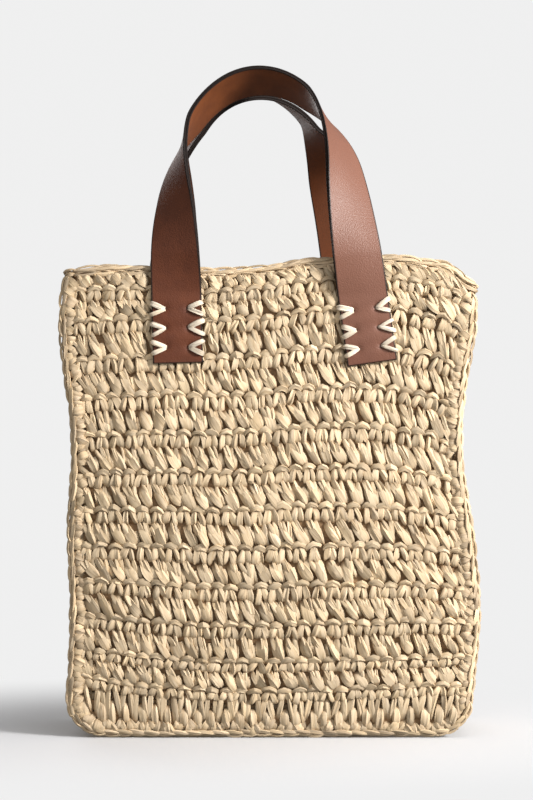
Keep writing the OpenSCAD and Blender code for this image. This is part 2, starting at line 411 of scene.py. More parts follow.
def leather_material(name, light, dark, right_leg_painted_light, roughness, pebble):
    """Finished leather: fine pebble grain, soft mottling and slightly darker, burnished edges. The grain is
    smoother towards the right leg of each strap, and its colour there shifts to a painted light colour: a
    lighter painted sheen on the grain leather, a darker painted shade on the tan."""
    pore_size, pore_depth = 0.9 * MM, 0.10 * MM
    grain_size, grain_depth = 0.45 * MM, 0.06 * MM
    wave_depth = 0.8 * MM
    m = Nodes(bpy.data.materials.new(name))
    worn, painted, polish_and_painted_light = m.marks()
    uv = m.scaled_uv(1, 1)
    mottle = m.noise(uv, 55, 3, 0.6)
    pores = m.node("ShaderNodeTexVoronoi", Vector=uv, Scale=1 / pore_size)
    pores.feature = "SMOOTH_F1"
    fine = m.noise(uv, 1 / grain_size, 3, 0.6)
    wear = m.noise(uv, 18, 4, 0.65)
    colour = m.mix(m.ramp(mottle, 0.3, 0.75), light, dark)
    colour = m.mix(m.times(m.ramp(fine, 0.4, 0.75), 0.22), colour, dark)
    painted_light_mask = m.times(polish_and_painted_light, m.plus(m.times(m.ramp(fine, 0.3, 0.7), 0.5), 0.5))
    # painted light on the right leg, broken up by the grain: painted sheen on grain leather, painted shade
    # on tan
    colour = m.mix(painted_light_mask, colour, right_leg_painted_light)
    colour = m.mix(m.times(worn, 0.6), colour, (0.06, 0.020, 0.011))
    # near black where the edges are painted black, and as painted shade in the stitch holes
    colour = m.mix(painted, colour, (0.012, 0.006, 0.004))
    rough = m.plus(m.times(wear, 0.16), roughness - 0.08)
    rough = m.plus(rough, m.times(fine, 0.05))
    rough = m.minus(rough, m.times(polish_and_painted_light, 0.13))
    normal = m.bump(pores.outputs["Distance"], pebble, pore_depth)
    normal = m.bump(fine, 0.35 * pebble, grain_depth, normal)
    return m.finish(rough, 0.30, colour, m.bump(wear, 0.25, wave_depth, normal))


def edge_paint_material():
    """Black edge paint, slightly lumpy and dull."""
    m = Nodes(bpy.data.materials.new("black_edge_paint"))
    lumps = m.noise(m.scaled_uv(1, 1), 420, 3)
    colour = m.mix(lumps, (0.008, 0.006, 0.006), (0.022, 0.016, 0.014))
    return m.finish(0.65, 0.08, colour, m.bump(lumps, 0.5, 0.15 * MM))


raffia = raffia_material("raffia", (0.745, 0.60, 0.415), (0.60, 0.445, 0.27), (0.20, 0.105, 0.040))
raffia_edge = raffia_material("raffia_edge", (0.66, 0.525, 0.365), (0.55, 0.405, 0.25), (0.22, 0.12, 0.05))
pale_raffia = raffia_material("pale_raffia", (0.80, 0.71, 0.585), (0.70, 0.60, 0.47), (0.34, 0.24, 0.15))
# The third colour of each leather is its right leg's painted light: a lighter painted sheen on the grain, a
# darker painted shade on the tan.
grain_leather = leather_material(
    "grain_leather", (0.120, 0.033, 0.012), (0.080, 0.021, 0.008), (0.190, 0.088, 0.060), 0.57, 1.8)
tan_leather = leather_material(
    "tan_leather", (0.150, 0.043, 0.011), (0.095, 0.026, 0.007), (0.12, 0.034, 0.010), 0.55, 0.40)
edge_paint = edge_paint_material()

# ---- form of the bag


def left_x(z):
    return -smooth_through(z, edge_heights, left_edge_x)


def right_x(z):
    return smooth_through(z, edge_heights, right_edge_x)


def rim_z(x):
    """Height of the mouth's edge."""
    wave = rim_wave * np.cos(2 * math.pi * (x - rim_peak_x) / rim_period)
    wave = wave + left_lift * smooth((-left_lift_from - x) / left_lift_run)
    wave = wave + right_lift * smooth(x / right_lift_grow) * smooth((right_lift_to - x) / right_lift_fade)
    wave = wave - right_droop * smooth((x - right_droop_from) / right_droop_run)
    return rim_top + wave - rim_drop * np.clip(np.abs(x) / half_width, 0, 1.02) ** rim_drop_power


def outside_corner(point):
    """Which strands of a panel would stick out of its rounded bottom corners."""
    x, z = point[..., 0], point[..., 2]
    r = corner_r - panel_inset
    dx = np.maximum(x - (right_x(z) - corner_r), left_x(z) + corner_r - x)
    dz = corner_r - z
    return ((dx > 0) & (dz > 0) & (np.hypot(dx, dz) > r + 1.5 * MM)).mean(axis=1) > 0.4


def panel_bulge(q, z):
    """How far a panel bellies out: most low down in the middle, hardly at the straps."""
    belly = 7 * MM
    up = smooth(z / (110 * MM)) * (0.35 + 0.65 * (1 - smooth((z - 150 * MM) / (150 * MM)))) + 0.15
    up = up * (1 - 0.8 * smooth((z - 250 * MM) / (60 * MM)))
    return belly * up * (1 - np.abs(2 * q - 1) ** 2.6)


def panel_point(q, z, side):
    """A point on the middle surface of the front (side -1) or back (side 1) panel's outer layer."""
    lo = left_x(z) + panel_inset
    hi = right_x(z) - panel_inset
    x = lo + (hi - lo) * q
    tuck = 2.2 * MM * np.clip((np.abs(2 * q - 1) - 0.93) / 0.09, 0, 1.3) ** 2
    flat = 1 - 0.7 * smooth((z - 285 * MM) / (30 * MM))
    soft = wander(x, z, 0.16, 3 + side) * 1.3 * MM * flat
    y = side * (wall_mid + panel_bulge(q, z) + soft - tuck)
    return np.stack([x, y, z], -1)


def panel_place(q, z, side):
    """Point and outward normal on a panel."""
    du = panel_point(q + probe, z, side) - panel_point(q - probe, z, side)
    dv = panel_point(q, z + probe, side) - panel_point(q, z - probe, side)
    return panel_point(q, z, side), -side * unit(np.cross(du, dv))


def edge_route(step):
    """The U-shaped edge of a panel, from the left end of the rim, down, along the bottom and up again."""
    r = corner_r
    top_l = rim_z(np.array(-half_width)) - rim_chain_h
    top_r = rim_z(np.array(half_width)) - rim_chain_h
    zl = np.linspace(top_l, r, 60)
    zr = np.linspace(r, top_r, 60)
    turn = np.linspace(0, math.pi / 2, 14)[1:-1]
    lx, rx = left_x(np.array(r)), right_x(np.array(r))
    bottom = np.linspace(lx + r, rx - r, 40)
    left_turn, right_turn = lx + r - r * np.cos(turn), rx - r + r * np.sin(turn)
    xs = np.concatenate([left_x(zl), left_turn, bottom, right_turn, right_x(zr)])
    zs = np.concatenate([zl, r - r * np.sin(turn), 0 * bottom, r - r * np.cos(turn), zr])
    far = np.concatenate([[0], np.cumsum(np.hypot(np.diff(xs), np.diff(zs)))])
    count = int(far[-1] / step) + 1
    at = np.linspace(0, far[-1], count)
    return np.stack([np.interp(at, far, xs), np.interp(at, far, zs)], -1), at


edge_xz, edge_at = edge_route(1.5 * MM)
edge_dir = unit(np.gradient(edge_xz, axis=0))
edge_length = edge_at[-1]


def on_edge(at, inset):
    """x, z, and the outward direction in X and Z, at a distance along the U-shaped edge."""
    at = np.clip(at, 0, edge_length)
    dx = np.interp(at, edge_at, edge_dir[:, 0])
    dz = np.interp(at, edge_at, edge_dir[:, 1])
    norm = np.hypot(dx, dz)
    ox, oz = dz / norm, -dx / norm
    x = np.interp(at, edge_at, edge_xz[:, 0]) - ox * inset
    z = np.interp(at, edge_at, edge_xz[:, 1]) - oz * inset
    return x, z, ox, oz


def strip_point(w, at):
    """A point on the side-and-bottom strip: w runs from the front (-1) to the back (1). The sides sag
    inwards high up, but not at the rim."""
    x, z, ox, oz = on_edge(at, 5.5 * MM)
    high = smooth((z - 120 * MM) / (160 * MM)) * (1 - smooth((z - 315 * MM) / (50 * MM)))
    sag = (9 * MM * high) * (1 - w * w) * np.abs(ox)
    y = w * (half_depth - 4 * MM)
    return np.stack([x - ox * sag, y, z - oz * sag], -1)


def strip_place(w, at):
    """Point and outward normal on the strip."""
    dw = strip_point(w + probe, at) - strip_point(w - probe, at)
    da = strip_point(w, at + probe) - strip_point(w, at - probe)
    n = unit(np.cross(dw, da))
    _, _, ox, oz = on_edge(at, 0)
    out = np.stack([ox, 0 * ox, oz], -1)
    return strip_point(w, at), n * np.sign((n * out).sum(-1, keepdims=True))


# ---- crochet stitches

# Each strand is rows of (across 0..1, up 0..1, out mm, half width mm, half thickness mm).
CAP = [(0.02, 0.56, 0.0, 1.3, 0.9), (0.13, 0.72, 2.1, 2.1, 1.3), (0.50, 0.86, 3.3, 2.6, 1.6),
       (0.87, 0.72, 2.1, 2.1, 1.3), (0.98, 0.56, 0.0, 1.3, 0.9)]
LEFT_LEG = [(0.43, 0.84, -0.3, 1.7, 1.0), (0.37, 0.58, 1.8, 2.3, 1.4), (0.27, 0.30, 2.5, 2.8, 1.7),
            (0.20, 0.02, 1.9, 2.9, 1.6), (0.17, -0.13, -0.6, 2.3, 1.1)]
RIGHT_LEG = [(0.57, 0.84, -0.4, 1.7, 1.0), (0.63, 0.58, 1.6, 2.3, 1.4), (0.74, 0.30, 2.3, 2.8, 1.7),
             (0.81, 0.02, 1.8, 2.9, 1.6), (0.84, -0.13, -0.6, 2.3, 1.1)]
PALM = [(0.42, 0.84, -0.6, 2.4, 1.1), (0.52, 0.62, 1.6, 3.6, 1.5), (0.66, 0.38, 2.8, 4.3, 1.9),
        (0.82, 0.14, 3.1, 4.2, 1.9), (0.93, -0.02, 2.1, 3.3, 1.6), (0.99, -0.12, -0.4, 2.4, 1.0)]
FINGERS = [[(0.66, 0.30, 2.3, 1.4, 1.0), (0.44, 0.62, 2.9, 2.2, 1.4), (0.26, 0.90, 1.6, 1.6, 1.0),
            (0.14, 1.12, -1.2, 0.6, 0.5)],
           [(0.78, 0.34, 2.9, 1.2, 0.9), (0.64, 0.68, 3.0, 1.7, 1.2), (0.52, 0.95, 1.5, 1.2, 0.9),
            (0.46, 1.13, -1.2, 0.5, 0.5)],
           [(0.94, 0.28, 2.3, 1.4, 1.0), (0.90, 0.62, 2.5, 2.1, 1.3), (0.86, 0.90, 1.3, 1.5, 1.0),
            (0.83, 1.12, -1.2, 0.6, 0.5)]]
TUCK = [(1.02, 0.62, 1.0, 1.4, 0.9), (1.08, 0.36, 1.9, 2.0, 1.3), (1.14, 0.10, 1.6, 1.8, 1.1),
        (1.18, -0.08, -0.4, 1.2, 0.8)]
BRIDGE = [(-0.15, 0.92, -1.8, 1.1, 0.8), (0.30, 1.02, -1.0, 1.6, 0.9), (0.70, 1.02, -1.0, 1.6, 0.9),
          (1.15, 0.92, -1.8, 1.1, 0.8)]
PEG = [(0.50, -0.06, -0.4, 2.2, 1.1), (0.49, 0.12, 2.0, 3.2, 1.7), (0.46, 0.34, 2.8, 3.5, 1.9),
       (0.42, 0.52, 1.9, 2.9, 1.5), (0.40, 0.64, -0.6, 1.8, 0.9)]
LONG_LEFT = [(0.02, 0.20, -0.4, 1.8, 0.9), (0.05, 0.42, 1.8, 2.4, 1.4), (0.13, 0.72, 2.3, 2.5, 1.4),
             (0.22, 1.00, 1.4, 2.1, 1.2), (0.25, 1.14, -0.8, 1.4, 0.8)]
LONG_RIGHT = [(0.92, 0.18, -0.4, 1.8, 0.9), (0.87, 0.42, 1.9, 2.4, 1.4), (0.77, 0.72, 2.4, 2.5, 1.4),
              (0.69, 1.00, 1.5, 2.1, 1.2), (0.67, 1.14, -0.8, 1.4, 0.8)]


def grid(across, rows):
    """Every column of every row, as two flat lists."""
    c, r = np.meshgrid(np.arange(across), rows)
    return c.ravel().astype(float), r.ravel()


def each(count, spread=1.0):
    """One chance value for each strand, the same along its length."""
    return rng.normal(0, spread, (count, 1))


def shades(count, tone, hue):
    """The strands' tones and hues, from the middle and spread of each."""
    return rng.normal(*tone, count), np.clip(rng.normal(*hue, count), 0, 1)


def lay_stitches(strands, template, columns, rows, place, rings, panel, lean=0.0, depth=0.0, flip=1.0):
    """Lays one strand of the stitch at every (column, row), with the small differences of hand work."""
    count = len(columns)
    shape = through_points(template, rings)
    s = np.repeat(shape[None, :, 0], count, 0)
    t = np.repeat(shape[None, :, 1], count, 0)
    lean = np.broadcast_to(lean, (count,))
    bow = each(count, 0.045) * np.sin(math.pi * np.linspace(0, 1, rings))
    s = s + lean[:, None] * (0.5 - t) + bow
    jitter = rng.normal(0, 1, (count, 4))
    angle = 0.085 * jitter[:, :1]
    size = 1 + 0.07 * jitter[:, 1:2]
    ds, dt = (s - 0.5) * size, (t - 0.5) * size
    s = 0.5 + ds - angle * dt + 0.035 * jitter[:, 2:3]
    t = 0.5 + dt + angle * ds + 0.035 * jitter[:, 3:4]
    out = shape[None, :, 2] * MM + depth + 0.25 * MM * each(count)
    wide = 1 + 0.13 * each(count)
    width = shape[None, :, 3] * MM * np.clip(wide, 0.7, 1.35)
    thick = shape[None, :, 4] * MM * np.clip(1 / wide, 0.8, 1.3)
    point, normal = place(columns[:, None] + s, rows, t)
    keep = ~outside_corner(point) if panel else np.ones(count, bool)
    point, normal, out, width, thick = point[keep], normal[keep], out[keep], width[keep], thick[keep]
    count = len(point)
    normal = normal * flip
    centre = point + normal * out[..., None]
    roll = rng.normal(0, 0.24, (count, 1, 1))
    roll = roll + rng.normal(0, 0.3, (count, 1, 1)) * np.linspace(-1, 1, rings)[:, None]
    side = unit(np.cross(np.gradient(centre, axis=1), normal))
    tone, hue = shades(count, (0, 0.25), (0.1, 0.22))
    # painted shade on the parts of a strand that lie low, less than 1.7 mm out
    low = np.clip((1.7 - (out / MM - depth / MM)) / 2.6, 0, 1)
    strands.add(centre, unit(normal + roll * side), width, thick, tone, hue, low)


def row_edges():
    """Where a panel's crochet rows begin and end, as shares of its height: one long row at the bottom, then
    pairs of a low row of caps and a taller row of slanting lobes, and two short rows under the rim."""
    pairs = [(11, 13.5), (10.5, 17)] + [(13.5, 17.3)] * 8 + [(13, 12)]
    heights = [21.5] + [h for pair in pairs for h in pair] + [11, 9]
    edges = np.concatenate([[0], np.cumsum(heights)])
    return edges / edges[-1]


ROWS = row_edges()
row_count = len(ROWS) - 1


def row_sag(q, z):
    """The rows climb towards both sides low down, and droop a little towards them higher up."""
    left = np.clip(1 - 2 * q, 0, 1) ** 2.2 * (13 - 17 * smooth(z / (240 * MM)))
    right = np.clip(2 * q - 1, 0, 1) ** 2.2 * (7 - 12 * smooth(z / (200 * MM)))
    ends = smooth(z / (30 * MM)) * smooth((rim_top - z) / (60 * MM))
    return (left + right) * ends * MM


def panel_placer(side, seed):
    """Turns a column, a row and a height within the row into a place on a panel."""

    def place(columns, rows, t):
        q = columns / stitches_across
        low, high = ROWS[rows][:, None], ROWS[rows + 1][:, None]
        share = low + (high - low) * t
        x_guess = (q - 0.5) * 2 * (half_width - panel_inset)
        top = rim_z(x_guess) - rim_chain_h
        z = bottom_row_z + (top - bottom_row_z) * share
        middle = np.sin(math.pi * np.clip(share, 0, 1))
        z = z + row_sag(q, z)
        uneven = 0.5 * wander(x_guess, 4 * z, 0.11, seed) + 1.2 * wander(x_guess, z, 0.30, seed + 9)
        z = z + middle * MM * uneven
        x_drift = 1.2 * MM * wander(x_guess * 2, z, 0.09, seed + 5)
        return panel_place(q + x_drift / (2 * half_width) * np.sin(math.pi * np.clip(q, 0, 1)), z, side)
    return place


def strip_placer(start, end, count, seed, downwards):
    """The same for a stretch of the side-and-bottom strip that has `count` rows."""

    def place(columns, rows, t):
        w = 2 * columns / gusset_stitches - 1
        share = (rows[:, None] + t) / count
        if downwards:
            share = 1 - share
        at = start + (end - start) * share
        at = at + 1.2 * MM * wander(w * 0.05, at, 0.1, seed)
        return strip_place(w, at)
    return place


def run_core(strands, place, across, rows, levels):
    """Wide flat strands that run the length of each row behind its stitches, darkened all over, with a
    yellower hue, as painted shade.
    """
    rows = np.asarray(rows)
    count = len(rows)
    columns = np.repeat(np.linspace(0, 1, 3 * across)[None, :] * across, count, 0)
    for level in levels:
        t = level + 0.10 * wander(columns * 0.011, rows[:, None] * 0.05, 0.03, 17)
        point, normal = place(columns, rows, t)
        centre = point + normal * (-1.4 * MM + 0.3 * MM * rng.normal(0, 1, (count, 1, 1)))
        wide = (4.6 + 0.5 * rng.normal(0, 1, columns.shape)) * MM
        # 0.85: painted shade over the whole strand, which lies in the shade behind the stitches
        strands.add(centre, normal, wide, 1.0 * MM, *shades(count, (0, 0.3), (0.4, 0.2)), 0.85)


def crochet(name, place, across, cap_rows, lobe_rows, long_rows, seed, panel):
    """Rows of single crochet: cap rows show a cap over two splayed legs, lobe rows a slanting broad palm
    with split tips, and the long row at a panel's foot shows pegs between tall open stitches."""
    caps, lobes, cores = Strands(10), Strands(10), Strands(8)
    columns, rows = grid(across, cap_rows)
    columns = columns + rng.normal(0, 0.04, len(columns))
    lean = 0.12 * wander(columns * 0.011, rows * 0.03, 0.10, seed + 3) + rng.normal(0, 0.05, len(columns))
    for template in (LEFT_LEG, RIGHT_LEG, CAP):
        lay_stitches(caps, template, columns, rows, place, 7, panel, lean)
    if long_rows:
        columns, rows = grid(across, long_rows)
        columns = columns + rng.normal(0, 0.06, len(columns))
        for template in (PEG, LONG_LEFT, LONG_RIGHT):
            lay_stitches(caps, template, columns, rows, place, 8, panel)
        run_core(cores, place, across, long_rows, (0.12, 0.40))
    run_core(cores, place, across, cap_rows, (0.2, 0.75))
    columns, rows = grid(across, lobe_rows)
    columns = columns + rng.normal(0, 0.04, len(columns))
    lean = 0.14 + 0.14 * wander(columns * 0.011, rows * 0.05, 0.13, seed)
    lean = lean + rng.normal(0, 0.07, len(columns))
    lay_stitches(lobes, TUCK, columns, rows, place, 6, panel, lean)
    lay_stitches(lobes, PALM, columns, rows, place, 9, panel, lean)
    for finger in FINGERS:
        chosen = rng.random(len(columns)) < 0.85
        lay_stitches(lobes, finger, columns[chosen], rows[chosen], place, 6, panel, lean[chosen])
    lay_stitches(lobes, BRIDGE, columns, rows, place, 4, panel)
    run_core(cores, place, across, lobe_rows, (0.1, 0.45, 0.8))
    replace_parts(bag_piece(caps, f"{name}_cap_rows", raffia), name)
    bag_piece(lobes, f"{name}_lobe_rows", raffia)
    bag_piece(cores, f"{name}_core_rows", raffia)


def crochet_inside(name, place, across, cap_rows, lobe_rows, panel):
    """The same rows seen from inside the bag, with fewer points: where the outside shows caps,
    the inside shows lobes."""
    inside = Strands(6)
    depth = inner_layer - 1.0 * MM
    lobe_strands = (PALM, FINGERS[0], FINGERS[2])
    for shown_rows, templates in ((lobe_rows, (LEFT_LEG, RIGHT_LEG, CAP)), (cap_rows, lobe_strands)):
        columns, rows = grid(across, shown_rows)
        for template in templates:
            lay_stitches(inside, template, columns, rows, place, 5, panel, depth=depth, flip=-1.0)
    bag_piece(inside, f"{name}_inside_rows", raffia)


cap_rows = np.arange(1, row_count, 2)
lobe_rows = np.arange(2, row_count, 2)
for side, name in ((-1, "front_panel"), (1, "back_panel")):
    place = panel_placer(side, 20 + side)
    crochet(name, place, stitches_across, cap_rows, lobe_rows, [0], 40 + side, panel=True)
    crochet_inside(name, place, stitches_across, cap_rows, np.append(lobe_rows, 0), panel=True)

side_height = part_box("left_gusset")[1].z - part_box("left_gusset")[0].z
strips = (("left_gusset", 0.0, side_height, True),
          ("base_panel", side_height, edge_length - side_height, False),
          ("right_gusset", edge_length - side_height, edge_length, False))
for k, (name, start, end, downwards) in enumerate(strips):
    count = int(round((end - start) / gusset_row_h))
    place = strip_placer(start, end, count, 60 + k, downwards)
    odd, even = np.arange(1, count, 2), np.arange(0, count, 2)
    crochet(name, place, gusset_stitches, odd, even, [], 70 + k, panel=False)
    crochet_inside(name, place, gusset_stitches, odd, even, panel=False)

# ---- chained seams and rim

# Each link is two strands that part and close again, as rows of
# (along 0..1, to the side mm, out mm, half width mm, half thickness mm).
LINK = [(-0.40, 0.1, -0.8, 0.9, 0.6), (-0.05, 1.5, 0.4, 1.6, 1.0), (0.40, 2.5, 1.2, 1.9, 1.2),
        (0.90, 1.9, 1.9, 1.7, 1.1), (1.25, 0.5, 1.2, 1.3, 0.8), (1.42, -0.2, -0.4, 0.8, 0.6)]


def chain(strands, route, pitch, length, spread, size):
    """A chain of links along a route, where route(at) gives point, direction and outward normal."""
    count = int(length / pitch)
    first = np.arange(count) * pitch
    shape = through_points(LINK, 11)
    for hand in (-1, 1):
        slip = each(count, 0.09)
        swell = 1 + 0.12 * each(count)
        at = first[:, None] + (shape[None, :, 0] + slip) * pitch * 1.05
        point, along, normal = route(at)
        side = np.cross(along, normal)
        off = hand * shape[None, :, 1] * MM * spread + 0.35 * MM * each(count)
        out = (shape[None, :, 2] + 0.5 * hand * np.sin(first * 40)[:, None]) * MM * size
        centre = point + side * off[..., None] + normal * out[..., None]
        face = unit(normal + hand * 0.35 * side)
        tone, hue = shades(count, (0.15, 0.4), (0.25, 0.3))
        width = shape[None, :, 3] * MM * size * swell
        thick = shape[None, :, 4] * MM * size / swell
        # painted shade where a link dips down under its neighbours
        strands.add(centre, face, width, thick, tone, hue, np.clip(0.25 - 0.5 * shape[:, 2], 0, 1))


def seam_route(side, inset, forward, tip):
    """Route of a seam along the U-shaped edge. Its links face outwards in the plane of the panel, and are
    turned by tip, in radians, to face out of the panel."""

    def route(at):
        x, z, ox, oz = on_edge(at, inset)
        x2, z2, _, _ = on_edge(at + probe / 2, inset)
        along = unit(np.stack([x2 - x, 0 * x, z2 - z], -1) + 1e-12)
        y = side * (half_depth - forward) + 0 * x
        normal = unit(np.stack([ox * math.cos(tip), side * math.sin(tip) + 0 * x, oz * math.cos(tip)], -1))
        wob = 0.5 * MM * wander(at, 0 * at, 0.05, 5)
        lift = (0.8 * MM + np.abs(wob)) * (oz < -0.5)
        return np.stack([x + ox * wob, y, z + lift], -1), along, normal
    return route


def joining_stitches(strands, side):
    """Short strands across the edge, from the chain to the panel, two to a stitch."""
    pitch = 7.6 * MM
    count = int(edge_length / pitch)
    first = (np.arange(count) + 0.5) * pitch
    share = np.linspace(0, 1, 8)
    arch = np.sin(math.pi * share)
    # place within the stitch, slant, insets of both ends in mm, half width in mm
    pair = ((0.0, 0.5, 4.0, 14.5, 3.3), (0.45, -0.6, 5.0, 13.5, 2.8))
    for ahead, slant, base_inset, tip_inset, wide in pair:
        slants = slant + 0.35 * each(count)
        at = first[:, None] + (ahead + slants * (share[None, :] - 0.5)) * pitch
        at = at + 0.12 * pitch * each(count)
        inset = (base_inset + (tip_inset - base_inset) * share[None, :] + each(count)) * MM
        x, z, ox, oz = on_edge(at, 0)
        x, z = x - ox * inset, z - oz * inset
        y = side * (half_depth - 2.4 * MM + (arch - 0.45 * share) * 3.4 * MM) + 0 * x
        y = y + side * 0.5 * MM * each(count)
        normal = np.stack([0.30 * ox, side + 0 * ox, 0.30 * oz], -1)
        profile = (0.55 + 0.45 * arch ** 0.6)[None, :] * (1 + 0.18 * each(count)) * MM
        # the ends of each stitch, where it dives into the edge, get painted shade
        strands.add(np.stack([x, y, z], -1), unit(normal), wide * profile, 1.5 * profile,
                    *shades(count, (-0.1, 0.3), (0.3, 0.3)), 0.3 * (1 - arch))


def edge_core(strands, side):
    """Flat strands running round under the joining stitches, so that nothing shows through. They are
    darkened all over as painted shade.
    """
    at = np.linspace(0, edge_length, 300)[None, :]
    for inset in (7.5, 12.5):
        x, z, ox, oz = on_edge(at, inset * MM)
        centre = np.stack([x, 0 * x + side * (half_depth - 5.2 * MM), z], -1)
        normal = np.stack([0 * x, 0 * x + side, 0 * x], -1)
        # 0.85: painted shade over the whole strand, hidden under the joining stitches
        strands.add(centre, normal, 4.4 * MM, 1.0 * MM, np.zeros(1), np.full(1, 0.5), 0.85)


for side, name in ((-1, "front_seam"), (1, "back_seam")):
    seam = Strands(8)
    seam_pitch, seam_length = 11 * MM, edge_length - 4 * MM
    chain(seam, seam_route(side, 3.4 * MM, 1.9 * MM, 0.80), seam_pitch, seam_length, 0.95, 0.9)
    chain(seam, seam_route(side, 3.6 * MM, 5.0 * MM, -0.10), seam_pitch, seam_length, 0.85, 0.8)
    joining_stitches(seam, side)
    edge_core(seam, side)
    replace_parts(bag_piece(seam, f"{name}_chain", raffia_edge), name)


def mouth_route():
    """Closed route round the mouth, along the front first, with rounded corners."""
    r = 9 * MM
    inset = 3 * MM
    x, y = half_width - inset - r, half_depth - inset - r
    corners = []
    for quarter, (cx, cy) in enumerate(((x, -y), (x, y), (-x, y), (-x, -y))):
        turn = (quarter - 1 + np.linspace(0, 1, 8)) * math.pi / 2
        corners.append(np.stack([cx + r * np.cos(turn), cy + r * np.sin(turn)], -1))
    route = []
    for before, corner, count in zip(corners[-1:] + corners[:-1], corners, (60, 16, 60, 16)):
        route += [np.linspace(before[-1], corner[0], count), corner[1:-1]]
    return np.concatenate(route + [route[0][:1]])


rim_xy = mouth_route()


def rim_height(x, y):
    """Height round the mouth: its sides dip, and its back stands a little higher at the corners."""
    corner_x, corner_reach, corner_rise, dip = 137 * MM, 22 * MM, 6.5 * MM, 1.5 * MM
    back = smooth((y + half_depth) / (2 * half_depth))
    rise = corner_rise * np.exp(-((np.abs(x) - corner_x) / corner_reach) ** 2) * back
    return rim_z(x) + rise - dip * np.sin(math.pi * np.clip((y / half_depth + 1) / 2, 0, 1))


chain_below = 2.7 * MM                   # the chain's route lies this far under its highest strands
rim_points = np.column_stack([rim_xy, rim_height(rim_xy[:, 0], rim_xy[:, 1]) - chain_below])
rim_at = distance_along(rim_points)
rim_length = rim_at[-1]


def rim_route(tip, drop=0.0, outward=0.0):
    """Route round the mouth, shifted down by drop and outwards. tip is the angle in radians that turns the
    links' faces from outwards to upwards and on to inwards."""

    def spot(at):
        return read_rows(np.mod(at, rim_length), rim_at, rim_points)

    def route(at):
        p = spot(at)
        along = unit(spot(at + 1.5 * probe) - spot(at - 1.5 * probe))
        flat = unit(np.cross(along, np.broadcast_to((0.0, 0.0, 1.0), along.shape)))
        up = np.cross(flat, along)
        normal = unit(up * math.sin(tip) + flat * math.cos(tip))
        return p - up * drop + flat * outward, along, normal
    return route


rim = Strands(8)
chain(rim, rim_route(0.95), 13.5 * MM, rim_length, 0.85, 0.85)
chain(rim, rim_route(0.1, 3.0 * MM, 0.2 * MM), 12.5 * MM, rim_length, 0.75, 0.8)
chain(rim, rim_route(2.9, 3.2 * MM, -1.5 * MM), 12.5 * MM, rim_length, 0.9, 0.95)
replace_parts(bag_piece(rim, "rim_chain", raffia_edge), "rim_edging")

# ---- leather straps

strap_w = 40 * MM
strap_rings = 150                        # along each leg and over the arch
ply_t = 1.75 * MM
strap_end_z = 300 * MM
hole_inset = 10 * MM
first_stitch = 12.5 * MM
stitch_pitch = 15.5 * MM
stitch_rows = 3
stitch_spread = 4.3 * MM                 # how far an arm of a V climbs or falls on its way
strap_mid_y = half_depth + 0.3 * MM + ply_t

# Heights in mm, on the way up a leg, where the strap's twist, lean, turn and extra tilt begin
twist_from = 356
lean_from = 388
turn_from = 390
tilt_from = 440
lean_ramp = 24                           # the lean grows over this much height

# In millimetres and degrees: middle of the arch, its half width and height, the crown's height, leg slants,
# lean, heights where the left and right twist end, share of even twist in the right leg, turn about +Z and
# extra tilt at the crown
LOOPS = {
    "front": dict(mid=-8.6, half=69, rise=92, crown=529.4, left=-1.4, right=8, lean=11,
                  left_top=495, right_top=515, even=0.7, turn=-4.5, tilt=13.5, side=-1),
    "back": dict(mid=-11.7, half=64.8, rise=72.5, crown=525, left=5, right=7.8, lean=12.3,
                 left_top=494, right_top=501, even=0.22, turn=-19.7, tilt=1.9, side=1),
}


